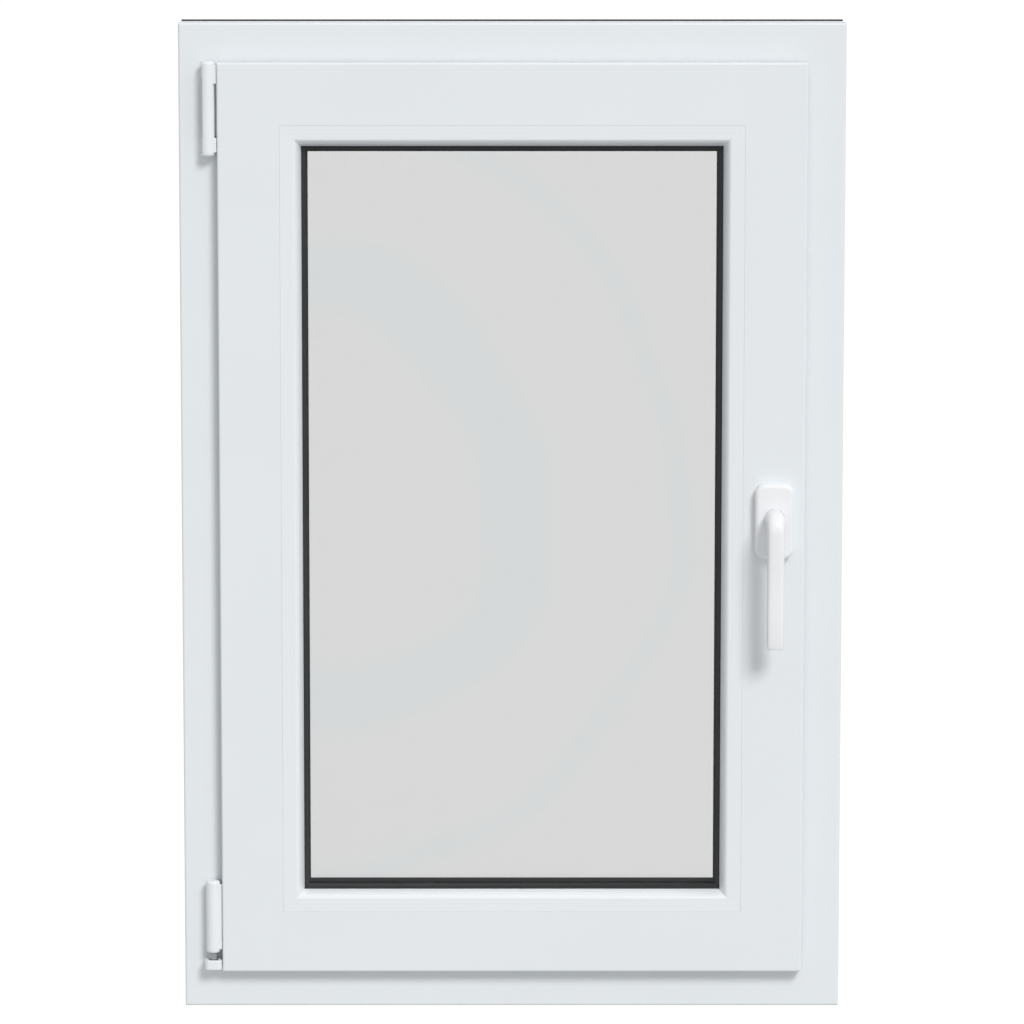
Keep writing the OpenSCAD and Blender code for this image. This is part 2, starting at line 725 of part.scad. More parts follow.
// Housings that guide the drive band round the two corners on the lock side.
module corner_drives() {
    leg = 28;
    deep = plate_t + slot_d;
    band = [lip_w - rod_u - rod_t, lip_w - rod_u];
    y = [groove_y - slot_w / 2, groove_y + slot_w / 2];
    color(zinc) for (s = [-1, 1]) translate([groove_right, 0, mid_z + s * (sash_h / 2 - lip_w)])
        mirror([0, 0, s > 0 ? 0 : 1]) difference() {
            union() {
                box([-leg, -plate_t], y, [-deep, -plate_t]);
                box([-deep, -plate_t], y, [-leg, -plate_t]);
            }
            box([-leg - 1, band[1]], [y[0] + 2, y[1] - 2], band);
            box(band, [y[0] + 2, y[1] - 2], [-leg - 1, band[1]]);
            translate([-screw_in - 4, groove_y, -deep - 1]) cylinder(h = deep + 1, r = pilot_r + run);
            rod_x(groove_y, -screw_in - 4, pilot_r + run, -deep - 1, 0);
        }
}

// ---------- handle ----------

module rosette_block(w, h, depth, corner, edge) {
    hull() for (sx = [-1, 1], sz = [-1, 1])
        translate([sx * (w / 2 - corner), 0, sz * (h / 2 - corner)]) rotate([90, 0, 0])
            for (a = [0:30:90])
                cylinder(h = depth - edge * (1 - sin(a)), r = corner - edge * (1 - cos(a)), $fn = 32);
}

module rosette_base() {
    color(zinc) difference() {
        box([handle_x - rosette_w / 2 + 2.5, handle_x + rosette_w / 2 - 2.5], [face_y - 2.5, face_y],
            [handle_z - rosette_drop - rosette_h / 2 + 2.5, handle_z - rosette_drop + rosette_h / 2 - 2.5]);
        rod_y(handle_x, handle_z, neck_r + run, face_y - 3, face_y + 1);
        for (s = [-1, 1]) rod_y(handle_x, handle_z + s * screw_pitch / 2, 2.6, face_y - 3, face_y + 1);
    }
}

module rosette_cover() {
    color(white) difference() {
        translate([handle_x, face_y, handle_z - rosette_drop])
            rosette_block(rosette_w, rosette_h, rosette_d, 9, 3.5);
        box([handle_x - rosette_w / 2 + 2.5, handle_x + rosette_w / 2 - 2.5], [face_y - rosette_d + 4, face_y + 1],
            [handle_z - rosette_drop - rosette_h / 2 + 2.5, handle_z - rosette_drop + rosette_h / 2 - 2.5]);
        rod_y(handle_x, handle_z, neck_r + gap, face_y - rosette_d - 1, face_y);
    }
}

module rosette_screws() {
    color(steel) for (s = [-1, 1]) {
        rod_y(handle_x, handle_z + s * screw_pitch / 2, screw_r, face_y - 2.5, groove_y - 2);
        rod_y(handle_x, handle_z + s * screw_pitch / 2, 4, face_y - 4.6, face_y - 2.5);
    }
}

// Side outline of the grip: the room side bows forward, and the tip turns back.
lever_top = 10;                               // above the spindle
lever_steps = 14;
function lever_z(t) = lever_top - t * (lever_l + lever_top);
function lever_front(t) = face_y - lever_proud + 7.5 - 7.5 * sin(100 * pow(t, 0.9)) + 4 * pow(t, 14);
function lever_thick(t) = 14 - 2 * t - 3 * pow(t, 14);

module handle_lever() {
    ts = [for (i = [0:lever_steps]) i / lever_steps];
    side = concat([for (t = ts) [lever_front(t), lever_z(t)]],
        [for (i = [lever_steps:-1:0]) [lever_front(ts[i]) + lever_thick(ts[i]), lever_z(ts[i])]]);
    half = lever_w / 2;
    color(white) translate([handle_x, 0, handle_z]) difference() {
        union() {
            rod_y(0, 0, neck_r, face_y - lever_proud + 12, face_y - 0.4);
            intersection() {
                rotate([90, 0, 90]) linear_extrude(lever_w, center = true) polygon(side);
                rotate([90, 0, 0]) linear_extrude(100) union() {
                    translate([0, lever_top - half]) circle(half);
                    translate([-half, -lever_l + 3]) square([lever_w, lever_l + lever_top - half - 3]);
                    translate([-half + 3, -lever_l]) square([lever_w - 6, 4]);
                    for (s = [-1, 1]) translate([s * (half - 3), -lever_l + 3]) circle(3);
                }
            }
        }
        box([-square / 2 - run, square / 2 + run], [face_y - 17, face_y + 1], [-square / 2 - run, square / 2 + run]);
    }
}

module handle_spindle() {
    color(steel) translate([handle_x, 0, handle_z])
        box([-square / 2, square / 2], [face_y - 17, case_y[1] - 1], [-square / 2, square / 2]);
}

tooth_half = 0.85;                            // half a tooth at the pitch line

module drive_pinion() {
    root = pinion_r - 0.8;
    tip = pinion_r + 0.8;
    color(steel) translate([handle_x, 0, handle_z]) difference() {
        union() {
            rod_y(0, 0, root, case_y[0] + 2.4, case_y[1] - 2.4);
            rotate([90, 0, 0]) translate([0, 0, -case_y[1] + 2.4]) linear_extrude(case_y[1] - case_y[0] - 4.8)
                for (i = [0:pinion_teeth - 1]) rotate(180 + i * 360 / pinion_teeth)
                    polygon([[root - 1, -1.3], [root, -1.3], [tip, -0.45], [tip, 0.45], [root, 1.3], [root - 1, 1.3]]);
            rod_y(0, 0, neck_r / 2 + 0.85, case_y[0] + 0.2, case_y[1] - 0.2);
        }
        box([-square / 2 - run, square / 2 + run], [-1, case_y[1] + 1], [-square / 2 - run, square / 2 + run]);
    }
}

// ---------- lock rods ----------

rack_teeth = 8;

// Rod on the lock side: its rack runs behind the pinion, and two arms join it to the rod.
module lock_rod() {
    y = [groove_y - 3.5, groove_y + 3.5];
    x = groove_right - (rod_u - lip_w);
    end = sash_h / 2 - lip_w - 30;
    arms = [handle_z - rack_down - arm_h, handle_z + rack_up];
    color(steel) {
        difference() {
            union() {
                for (z = [[mid_z - end, arms[0] + arm_h], [arms[1], mid_z + end - travel]])
                    box([x - rod_t, x], [groove_y - rod_w / 2, groove_y + rod_w / 2], z);
                for (z = arms) box([rack_x - 5, x], y, [z, z + arm_h]);
                box([rack_x - 5, rack_x - 1.1], y, [arms[0], arms[1] + arm_h]);
            }
            for (c = cams_z) rod_x(groove_y, mid_z + c, 3 + run, x - 10, x + 10);
            for (screw = [lock_screws[1], lock_screws[2]])
                box([x - 10, x + 10], [groove_y - 2.6, groove_y + 2.6],
                    [mid_z - screw - 3 - travel, mid_z - screw + 3]);
        }
        for (i = [0:rack_teeth - 1])
            translate([rack_x, y[1], handle_z + (1.5 - i) * tooth_pitch]) rotate([90, 0, 0])
                linear_extrude(y[1] - y[0]) polygon([[-1.6, -1.25], [-1.1, -1.25], [0.5, -0.5],
                    [0.5, 0.5], [-1.1, 1.25], [-1.6, 1.25]]);
    }
}

// Mushroom cam: z points out of the sash's edge, with its foot in the rod.
module cam() {
    foot = lip_w - rod_u - rod_t;
    translate([0, 0, foot]) cylinder(h = -foot + cam_gap, r = 3);
    translate([0, 0, cam_gap]) cylinder(h = cam_t, r = cam_r);
}

module lock_cams() {
    color(steel) for (z = cams_z) on_side(1, sash_w - 2 * lip_w, sash_h - 2 * lip_w)
        translate([-z, groove_y, 0]) cam();
}

// Short rod of the top or bottom rail, with its cam: along points to the lock side.
module rail_rod(side, along, start) {
    s = along;
    on_side(side, sash_w - 2 * lip_w, sash_h - 2 * lip_w) {
        difference() {
            box(s > 0 ? [start[0], start[1]] : [-start[1], -start[0]],
                [groove_y - rod_w / 2, groove_y + rod_w / 2], [lip_w - rod_u - rod_t, lip_w - rod_u]);
            translate([s * rod_cam_x, groove_y, -20]) cylinder(h = 40, r = 3);
        }
        translate([s * rod_cam_x, groove_y, 0]) cam();
    }
}

module top_rod() {
    color(steel) rail_rod(0, 1, [rod_cam_x - 22, groove_right - 30]);
}

module bottom_rod() {
    color(steel) rail_rod(2, -1, [rod_cam_x - 40, groove_right - 30 - travel]);
}

// ---------- stay ----------

module stay_bush() {
    color([0.85, 0.85, 0.82]) difference() {
        rod_z(axis_x, axis_y, 3.5, knuckle_z[0], knuckle_z[1]);
        rod_z(axis_x, axis_y, stay_pin_r + run, knuckle_z[0] - 1, knuckle_z[1] + 1);
    }
}

// Leaf from the knuckle through the gap behind the lip, then the arm along the top of the sash.
module stay_arm() {
    corner = leaf_x - fitting_gap + gap + 0.3;
    tail = slider_x + arm_w / 2;
    color(steel) difference() {
        union() {
            rod_z(axis_x, axis_y, knuckle_r, knuckle_z[0], knuckle_z[1]);
            box([axis_x, axis_x + web_x], [axis_y + 3, leaf_y[1]], knuckle_z);
            box([axis_x, leaf_x - 5], leaf_y, [knuckle_z[0], arm_z + arm_t]);
            translate([0, 0, arm_z]) linear_extrude(arm_t) {
                polygon([[corner, leaf_y[0]], [leaf_x - 5, leaf_y[0]], [leaf_x + 12, slider_y - arm_w / 2],
                    [tail - arm_w / 2, slider_y - arm_w / 2], [tail - arm_w / 2, slider_y + arm_w / 2],
                    [leaf_x, slider_y + arm_w / 2], [corner, slider_y - 2]]);
                translate([slider_x, slider_y]) circle(arm_w / 2);
            }
        }
        rod_z(axis_x, axis_y, 3.5 + run, knuckle_z[0] - 1, knuckle_z[1] + 1);
        rod_z(slider_x, slider_y, 2.5 + run, arm_z - 1, arm_z + arm_t + 1);
    }
}

module stay_slider() {
    color(zinc) {
        rod_z(slider_x, slider_y, slider_r, groove_top - plate_t - slot_d + 2.4, arm_z);
        rod_z(slider_x, slider_y, 2.5, arm_z, arm_z + arm_t);
        rod_z(slider_x, slider_y, 4, arm_z + arm_t, arm_z + arm_t + 1);
    }
}

// The cover turns with the leaf. Its back is open for the two lugs on the frame.
module stay_cover() {
    way = [63, 229];                          // directions that the lugs pass through
    way_r = 12;                               // well outside the cover
    color(white) translate([axis_x, axis_y, 0]) difference() {
        cover_shell(stay_bottom, stay_top, [stay_bottom + 2.5, stay_top - 2.5], lug_r + 0.4);
        translate([0, 0, knuckle_z[0] - 0.3]) cylinder(h = knuckle_z[1] - knuckle_z[0] + 0.6, r = knuckle_r);
        translate([0, 0, lug_z[0][0] - 1]) linear_extrude(lug_z[1][1] - lug_z[0][0] + 2)
            polygon(concat([[0, 0]], [for (a = [way[0]:(way[1] - way[0]) / 8:way[1]])
                way_r * [cos(a), sin(a)]]));
        box([0, 10], [3, 10], [knuckle_z[0], knuckle_z[1]]);
    }
}

// ---------- assembly ----------

module placed() {
    translate([0, -frame_d / 2, 0]) children();
}

placed() frame_member(0);  // frame_head
placed() frame_member(1);  // frame_jamb_right
placed() frame_member(2);  // frame_sill
placed() frame_member(3);  // frame_jamb_left
placed() frame_reinforcement();
placed() frame_seal();
placed() head_seal();
placed() drainage_caps();
placed() strike_plates();
placed() strike_screws();
placed() corner_bearing();
placed() corner_bearing_cover();
placed() corner_tilt_pin();
placed() stay_bearing();
placed() stay_pivot_pin();
placed() bearing_screws();
placed() corner_pivot();
placed() sash_member(0);  // sash_top_rail
placed() sash_lock_stile();
placed() sash_member(2);  // sash_bottom_rail
placed() sash_member(3);  // sash_hinge_stile
placed() sash_reinforcement();
placed() sash_seal();
placed() glazing_bead(0);  // bead_top
placed() glazing_bead(1);  // bead_right
placed() glazing_bead(2);  // bead_bottom
placed() glazing_bead(3);  // bead_left
placed() glazing_seal(0, -1);  // inner_glazing_seal
placed() glazing_seal(unit_t, 1);  // outer_glazing_seal
placed() color(glass) unit_slab(unit_u, [0, pane_t]);  // inner_pane
placed() color(glass) unit_slab(unit_u, [unit_t - pane_t, unit_t]);  // outer_pane
placed()  // spacer_bar
    color(black) unit_ring(spacer_u[0], spacer_u[1], [pane_t, unit_t - pane_t]);
placed()  // edge_sealant
    color(black) unit_ring(unit_u, spacer_u[0], [pane_t, unit_t - pane_t]);
placed() glazing_packers();
placed() hinge_strap();
placed() hinge_strap_bush();
placed() hinge_strap_cover();
placed() hinge_strap_screws();
placed() stay_rail();
placed() top_faceplate();
placed() lock_faceplate();
placed() bottom_faceplate();
placed() faceplate_screws();
placed() gearbox_case();
placed() corner_drives();
placed() rosette_base();
placed() rosette_cover();
placed() rosette_screws();
placed() handle_lever();
placed() handle_spindle();
placed() drive_pinion();
placed() lock_rod();
placed() lock_cams();
placed() top_rod();
placed() bottom_rod();
placed() stay_bush();
placed() stay_arm();
placed() stay_cover();
placed() stay_slider();
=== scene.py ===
"""Tilt-and-turn window in white uPVC: finished pieces, materials, light and camera."""

import json
from math import cos, pi, radians, sin

import bpy
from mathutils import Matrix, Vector

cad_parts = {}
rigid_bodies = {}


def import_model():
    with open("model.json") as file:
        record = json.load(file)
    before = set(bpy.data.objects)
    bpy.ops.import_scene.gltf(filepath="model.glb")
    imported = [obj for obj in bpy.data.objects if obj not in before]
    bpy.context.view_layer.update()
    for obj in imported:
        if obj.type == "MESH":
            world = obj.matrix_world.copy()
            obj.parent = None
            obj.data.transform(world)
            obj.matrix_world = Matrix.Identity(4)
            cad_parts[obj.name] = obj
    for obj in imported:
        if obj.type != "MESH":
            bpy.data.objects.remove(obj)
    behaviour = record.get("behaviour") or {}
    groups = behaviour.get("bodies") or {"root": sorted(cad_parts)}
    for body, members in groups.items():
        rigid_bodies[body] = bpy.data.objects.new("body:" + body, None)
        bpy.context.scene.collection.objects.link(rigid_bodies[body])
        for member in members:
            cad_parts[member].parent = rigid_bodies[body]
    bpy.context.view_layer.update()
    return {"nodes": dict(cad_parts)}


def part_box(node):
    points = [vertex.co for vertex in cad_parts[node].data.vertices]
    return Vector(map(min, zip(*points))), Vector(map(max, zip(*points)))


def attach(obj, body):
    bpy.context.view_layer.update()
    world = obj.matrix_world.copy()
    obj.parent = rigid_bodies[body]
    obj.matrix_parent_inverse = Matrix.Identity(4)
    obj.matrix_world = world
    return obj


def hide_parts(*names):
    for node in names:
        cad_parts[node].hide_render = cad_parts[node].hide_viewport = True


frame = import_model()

MM = 0.001
PAST = 10 * MM                          # how far a cutting tool runs past the piece
NEAR = 0.02 * MM                        # two places closer than this count as the same
SIDES = ("top", "right", "bottom", "left")


# ---------- where things are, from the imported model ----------

def corners(*nodes):
    """Lowest and highest corner round several CAD nodes."""
    boxes = [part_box(n) for n in nodes]
    low = Vector([min(b[0][i] for b in boxes) for i in range(3)])
    high = Vector([max(b[1][i] for b in boxes) for i in range(3)])
    return low, high


FRAME = corners("frame_head", "frame_sill", "frame_jamb_left", "frame_jamb_right")
SASH = corners("sash_top_rail", "sash_bottom_rail", "sash_hinge_stile", "sash_lock_stile")
ROOM_FACE = FRAME[0].y                  # depths below are measured from the frame's room face
SASH_FACE = SASH[0].y
SPINDLE = (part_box("handle_spindle")[0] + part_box("handle_spindle")[1]) / 2
PIN = (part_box("stay_pivot_pin")[0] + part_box("stay_pivot_pin")[1]) / 2


# ---------- modelling by hand ----------

def pick_only(obj):
    """Deselects everything, then selects one object."""
    for other in bpy.context.view_layer.objects:
        other.select_set(False)
    if obj is not None:
        obj.select_set(True)
        bpy.context.view_layer.objects.active = obj


def new_piece(name):
    """Names the primitive that was just added, and moves its place into its mesh."""
    obj = bpy.context.object
    obj.name = name
    obj.data.name = name
    pick_only(obj)
    bpy.ops.object.transform_apply(location=True, rotation=True, scale=True)
    return obj


def edit(obj):
    pick_only(obj)
    bpy.ops.object.mode_set(mode="EDIT")


def done():
    bpy.ops.object.mode_set(mode="OBJECT")


def choose(obj, kind, test):
    """Opens the piece in edit mode with only the edges or faces that pass the test selected."""
    edit(obj)
    bpy.ops.mesh.select_mode(type=kind)
    bpy.ops.mesh.select_all(action="DESELECT")
    done()
    mesh = obj.data
    if kind == "FACE":
        for face in mesh.polygons:
            face.select = test(face.center, face.normal)
    else:
        for edge in mesh.edges:
            a, b = (mesh.vertices[i].co for i in edge.vertices)
            edge.select = test(a, b)
    bpy.ops.object.mode_set(mode="EDIT")


def runs(axis, a, b):
    """True if the edge from a to b runs along the axis. No such edge is shorter than 1 mm."""
    i = "xyz".index(axis)
    return abs(a[i] - b[i]) > MM


def outward(obj):
    """Merges doubled corners and turns every face to the outside."""
    edit(obj)
    bpy.ops.mesh.select_all(action="SELECT")
    bpy.ops.mesh.remove_doubles(threshold=0.001 * MM)
    bpy.ops.mesh.normals_make_consistent(inside=False)
    done()


def bevel(obj, test, width, segments):
    """Rounds the edges that pass the test. width is in millimetres."""
    choose(obj, "EDGE", test)
    bpy.ops.mesh.bevel(offset=width * MM, segments=segments, affect="EDGES", clamp_overlap=True)
    done()


def block(name, low, high):
    low, high = Vector(low), Vector(high)
    pick_only(None)
    bpy.ops.mesh.primitive_cube_add(size=1, location=(low + high) / 2, scale=high - low)
    return new_piece(name)


def turned(name, radius, start, end, vertices=48):
    """A cylinder between two points on a line along X, Y or Z. radius is in millimetres."""
    start, end = Vector(start), Vector(end)
    along = end - start
    pick_only(None)
    bpy.ops.mesh.primitive_cylinder_add(
        vertices=vertices, radius=radius * MM, depth=along.length, location=(start + end) / 2,
        rotation=along.to_track_quat("Z", "Y").to_euler())
    return new_piece(name)


def boolean(obj, tool, operation="DIFFERENCE"):
    pick_only(obj)
    modifier = obj.modifiers.new("cut", "BOOLEAN")
    modifier.operation = operation
    modifier.solver = "EXACT"
    modifier.object = tool
    bpy.ops.object.modifier_apply(modifier=modifier.name)
    bpy.data.objects.remove(tool)


def copy_of(obj, name):
    twin = obj.copy()
    twin.data = obj.data.copy()
    twin.name = name
    twin.data.name = name
    bpy.context.scene.collection.objects.link(twin)
    return twin


def finished(obj, material, body, replaces=(), angle=32):
    """Smooths the piece, gives it its material and lets it ride on its body."""
    outward(obj)
    pick_only(obj)
    bpy.ops.object.shade_smooth_by_angle(angle=radians(angle))
    modifier = obj.modifiers.new("flat faces stay flat", "WEIGHTED_NORMAL")
    modifier.keep_sharp = True
    bpy.ops.object.modifier_apply(modifier=modifier.name)
    obj.data.materials.clear()
    obj.data.materials.append(material)
    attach(obj, body)
    if replaces:
        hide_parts(*replaces)
    return obj


# ---------- mitred profiles ----------

def inset_of(point, low, high):
    """How far a point of a ring lies in from the ring's outer edge, in metres."""
    return min(point.x - low.x, high.x - point.x, point.z - low.z, high.z - point.z)


def ring(name, low, high, section):
    """A rectangle of one profile. A corner of its section is (in from the edge, depth, radius), in mm."""
    middle = (low + high) / 2
    width, height = high.x - low.x, high.z - low.z

    def place(y):
        return (middle.x, ROOM_FACE + y * MM, middle.z)

    def clear(u):
        return width - 2 * u * MM, height - 2 * u * MM

    u, y, _ = section[0]
    pick_only(None)
    bpy.ops.mesh.primitive_plane_add(size=1, location=place(y), rotation=(pi / 2, 0, 0))
    obj = new_piece(name)
    edit(obj)
    bpy.ops.mesh.select_all(action="SELECT")
    bpy.ops.transform.resize(value=(clear(u)[0], 1, clear(u)[1]), center_override=place(y))
    for (u0, y0, _), (u1, y1, _) in zip(section, section[1:]):
        bpy.ops.mesh.extrude_region_move()
        ratio = (clear(u1)[0] / clear(u0)[0], 1, clear(u1)[1] / clear(u0)[1])
        bpy.ops.transform.resize(value=ratio, center_override=place(y0))
        bpy.ops.transform.translate(value=(0, (y1 - y0) * MM, 0))
    done()
    # Opens the first and the last rectangle, and joins them into one closed band.
    choose(obj, "FACE", lambda centre, normal: abs(centre.x - middle.x) + abs(centre.z - middle.z) < NEAR)
    bpy.ops.mesh.delete(type="ONLY_FACE")
    bpy.ops.mesh.select_mode(type="EDGE")
    bpy.ops.mesh.select_all(action="DESELECT")
    bpy.ops.mesh.select_non_manifold()
    bpy.ops.mesh.bridge_edge_loops()
    done()
    outward(obj)
    for radius in sorted({r for _, _, r in section if r}, reverse=True):
        spots = [(u * MM, ROOM_FACE + y * MM) for u, y, r in section if r == radius]

        def on_spot(a, b):
            return any(
                all(abs(inset_of(p, low, high) - u) < NEAR and abs(p.y - y) < NEAR for p in (a, b))
                for u, y in spots)

        bevel(obj, on_spot, radius, 6 if radius > 1.4 else 3)
    return obj


def members(whole, low, high, names):
    """Cuts a ring at its mitres into the top, right, bottom and left member, each closed at its ends."""
    pieces = []
    for side, name in zip(SIDES, names):
        piece = copy_of(whole, name)

        def elsewhere(centre, normal):
            gaps = {"top": high.z - centre.z, "right": high.x - centre.x,
                    "bottom": centre.z - low.z, "left": centre.x - low.x}
            return min(gaps, key=gaps.get) != side

        choose(piece, "FACE", elsewhere)
        bpy.ops.mesh.delete(type="FACE")
        bpy.ops.mesh.select_all(action="SELECT")
        bpy.ops.mesh.fill_holes(sides=0)
        done()
        pieces.append(piece)
    bpy.data.objects.remove(whole)
    return pieces


# ---------- materials ----------

def hexed(code):
    """sRGB hex to linear colour."""
    parts = [int(code[i:i + 2], 16) / 255 for i in (1, 3, 5)]
    return tuple(p / 12.92 if p <= 0.04045 else ((p + 0.055) / 1.055) ** 2.4 for p in parts) + (1,)


def add(tree, kind, inputs=(), **settings):
    """Adds a node. An input takes a value, a hex colour, or the output of another node."""
    node = tree.nodes.new(kind)
    for key, value in settings.items():
        setattr(node, key, value)
    for key, value in dict(inputs).items():
        if isinstance(value, bpy.types.NodeSocket):
            tree.links.new(value, node.inputs[key])
        else:
            node.inputs[key].default_value = hexed(value) if isinstance(value, str) else value
    return node


def blank(name):
    """An empty material, its tree, and the piece's own coordinates."""
    material = bpy.data.materials.new(name)
    material.use_nodes = True
    tree = material.node_tree
    tree.nodes.clear()
    return material, tree, add(tree, "ShaderNodeTexCoord").outputs["Object"]


# A Mix node set to colour takes its factor, its two colours, and gives its result at these sockets.
FACTOR, FIRST, SECOND, MIXED = 0, 6, 7, 2


def upvc(name, stretch, tint, shade, rough):
    """White uPVC, extruded: even gloss, faint die lines along the bar, a slight orange peel."""
    material, tree, place = blank(name)
    along = add(tree, "ShaderNodeMapping", {"Vector": place, "Scale": stretch})
    # Die lines every 2 mm or so across the bar, 300 mm and longer along it.
    lines = add(tree, "ShaderNodeTexNoise", {"Vector": along.outputs[0], "Scale": 500.0, "Detail": 2.0})
    # Orange peel of about 1.5 mm, and a drift in tint over 100 mm or so.
    peel = add(tree, "ShaderNodeTexNoise", {"Vector": place, "Scale": 650.0, "Detail": 1.0})
    cloud = add(tree, "ShaderNodeTexNoise", {"Vector": place, "Scale": 9.0, "Detail": 3.0})
    colour = add(tree, "ShaderNodeMix", {FACTOR: cloud.outputs[0], FIRST: tint, SECOND: shade},
                 data_type="RGBA")
    gloss = add(tree, "ShaderNodeMapRange", {"Value": lines.outputs[0], "From Min": 0.3, "From Max": 0.7,
                                             "To Min": rough - 0.04, "To Max": rough + 0.06})
    low = add(tree, "ShaderNodeBump", {"Height": lines.outputs[0], "Strength": 0.05, "Distance": 0.2 * MM})
    fine = add(tree, "ShaderNodeBump", {"Height": peel.outputs[0], "Strength": 0.06, "Distance": 0.2 * MM,
                                        "Normal": low.outputs[0]})
    skin = add(tree, "ShaderNodeBsdfPrincipled", {"Base Color": colour.outputs[MIXED], "IOR": 1.53,
                                                  "Roughness": gloss.outputs[0], "Normal": fine.outputs[0]})
    add(tree, "ShaderNodeOutputMaterial", {"Surface": skin.outputs[0]})
    return material


def moulded(name, tint, shade, rough, grain, depth, ior=1.5, metal=0.0):
    """Moulded, coated or rubbery surface. grain, in mm, sets its bump, gloss and colour."""
    material, tree, place = blank(name)
    speck = add(tree, "ShaderNodeTexNoise", {"Vector": place, "Scale": 1000 / grain, "Detail": 3.0})
    cloud = add(tree, "ShaderNodeTexNoise", {"Vector": place, "Scale": 25.0, "Detail": 2.0})
    both = add(tree, "ShaderNodeMath", {0: speck.outputs[0], 1: cloud.outputs[0]}, operation="MULTIPLY")
    spread = add(tree, "ShaderNodeMapRange", {"Value": both.outputs[0], "From Min": 0.1, "From Max": 0.45})
    gloss = add(tree, "ShaderNodeMapRange", {"Value": speck.outputs[0], "From Min": 0.3, "From Max": 0.7,
                                             "To Min": rough - 0.05, "To Max": rough + 0.07})
    bump = add(tree, "ShaderNodeBump", {"Height": speck.outputs[0], "Strength": depth,
                                        "Distance": 0.2 * MM})
    colour = add(tree, "ShaderNodeMix", {FACTOR: spread.outputs[0], FIRST: tint, SECOND: shade},
                 data_type="RGBA")
    skin = add(tree, "ShaderNodeBsdfPrincipled", {"Base Color": colour.outputs[MIXED], "Metallic": metal,
                                                  "Roughness": gloss.outputs[0], "IOR": ior,
                                                  "Normal": bump.outputs[0]})
    add(tree, "ShaderNodeOutputMaterial", {"Surface": skin.outputs[0]})
    return material


def galvanised():
    """Hot-dip galvanised steel: zinc spangles about 7 mm across, dull."""
    material, tree, place = blank("galvanised_steel")
    spangle = add(tree, "ShaderNodeTexVoronoi", {"Vector": place, "Scale": 140.0})
    grey = add(tree, "ShaderNodeSeparateColor", {"Color": spangle.outputs["Color"]})
    colour = add(tree, "ShaderNodeMix", {FACTOR: grey.outputs[0], FIRST: "#B3B8BC", SECOND: "#CFD3D6"},
                 data_type="RGBA")
    gloss = add(tree, "ShaderNodeMapRange", {"Value": grey.outputs[1], "To Min": 0.35, "To Max": 0.55})
    skin = add(tree, "ShaderNodeBsdfPrincipled", {"Base Color": colour.outputs[MIXED], "Metallic": 1.0,
                                                  "Roughness": gloss.outputs[0]})
    add(tree, "ShaderNodeOutputMaterial", {"Surface": skin.outputs[0]})
    return material


def glass():
    """Clear float glass: each face keeps back a little light, and a trace more in two faint circles of
    painted reflection.
    """
    material, tree, place = blank("float_glass")
    low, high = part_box("inner_pane")
    # Painted reflection, for the reflections of the bowed pane: two circles round a point near its hinge
    # side. Each is full for 15 mm on either side of its line and gone at 45 mm, and the outer one is
    # fainter.
    centre = (low.x + 20 * MM, 0.0, low.z + 0.53 * (high.z - low.z))
    flat = add(tree, "ShaderNodeVectorMath", {0: place, 1: (1, 0, 1)}, operation="MULTIPLY")
    wobble = add(tree, "ShaderNodeTexNoise", {"Vector": place, "Scale": 4.0, "Detail": 1.0})
    far = add(tree, "ShaderNodeVectorMath", {0: flat.outputs[0], 1: centre}, operation="DISTANCE")
    # The wobble takes a ring in by 50 mm or so, and makes it wander a little.
    bent = add(tree, "ShaderNodeMath", {0: wobble.outputs[0], 1: 100 * MM, 2: far.outputs["Value"]},
               operation="MULTIPLY_ADD")
    reflection_rings = []
    for radius, fainter in ((240 * MM, 0.0), (395 * MM, 22 * MM)):
        off = add(tree, "ShaderNodeMath", {0: bent.outputs[0], 1: radius}, operation="SUBTRACT")
        off = add(tree, "ShaderNodeMath", {0: off.outputs[0]}, operation="ABSOLUTE")
        reflection_rings.append(add(tree, "ShaderNodeMath", {0: off.outputs[0], 1: fainter}, operation="ADD"))
    band = add(tree, "ShaderNodeMath", {0: reflection_rings[0].outputs[0], 1: reflection_rings[1].outputs[0]},
               operation="MINIMUM")
    # Painted reflection: along the circles the view through the pane is a trace less red.
    tint = add(tree, "ShaderNodeMapRange", {"Value": band.outputs[0], "From Min": 15 * MM,
                                            "From Max": 45 * MM, "To Min": 1.0, "To Max": 0.0},
               interpolation_type="SMOOTHSTEP")
    colour = add(tree, "ShaderNodeMix", {FACTOR: tint.outputs[0], FIRST: "#F6F6F6", SECOND: "#F5F6F6"},
                 data_type="RGBA")
    through = add(tree, "ShaderNodeBsdfTransparent", {"Color": colour.outputs[MIXED]})
    shine = add(tree, "ShaderNodeBsdfGlossy", {"Color": "#FFFFFF", "Roughness": 0.02})
    # Mirrors 4% head on and everything at a graze, from inside the pane as from outside.
    graze = add(tree, "ShaderNodeLayerWeight", {"Blend": 0.5})
    graze = add(tree, "ShaderNodeMath", {0: graze.outputs["Facing"], 1: 5.0}, operation="POWER")
    share = add(tree, "ShaderNodeMapRange", {"Value": graze.outputs[0], "To Min": 0.04, "To Max": 1.0})
    both = add(tree, "ShaderNodeMixShader", {0: share.outputs[0], 1: through.outputs[0],
                                             2: shine.outputs[0]})
    add(tree, "ShaderNodeOutputMaterial", {"Surface": both.outputs[0]})
    return material


# The die lines are drawn out along X on rails and along Z on stiles.
ALONG_X, ALONG_Z = (0.006, 1, 1), (1, 1, 0.006)
UPVC_RAIL = upvc("extruded_upvc_rails", ALONG_X, "#EFF3F5", "#EBEFF2", 0.34)
UPVC_STILE = upvc("extruded_upvc_stiles", ALONG_Z, "#EFF3F5", "#EBEFF2", 0.34)
# Beads are cut from a glossier bar.
BEAD_RAIL = upvc("extruded_upvc_bead_rails", ALONG_X, "#F1F4F6", "#EEF1F3", 0.26)
BEAD_STILE = upvc("extruded_upvc_bead_stiles", ALONG_Z, "#F1F4F6", "#EEF1F3", 0.26)
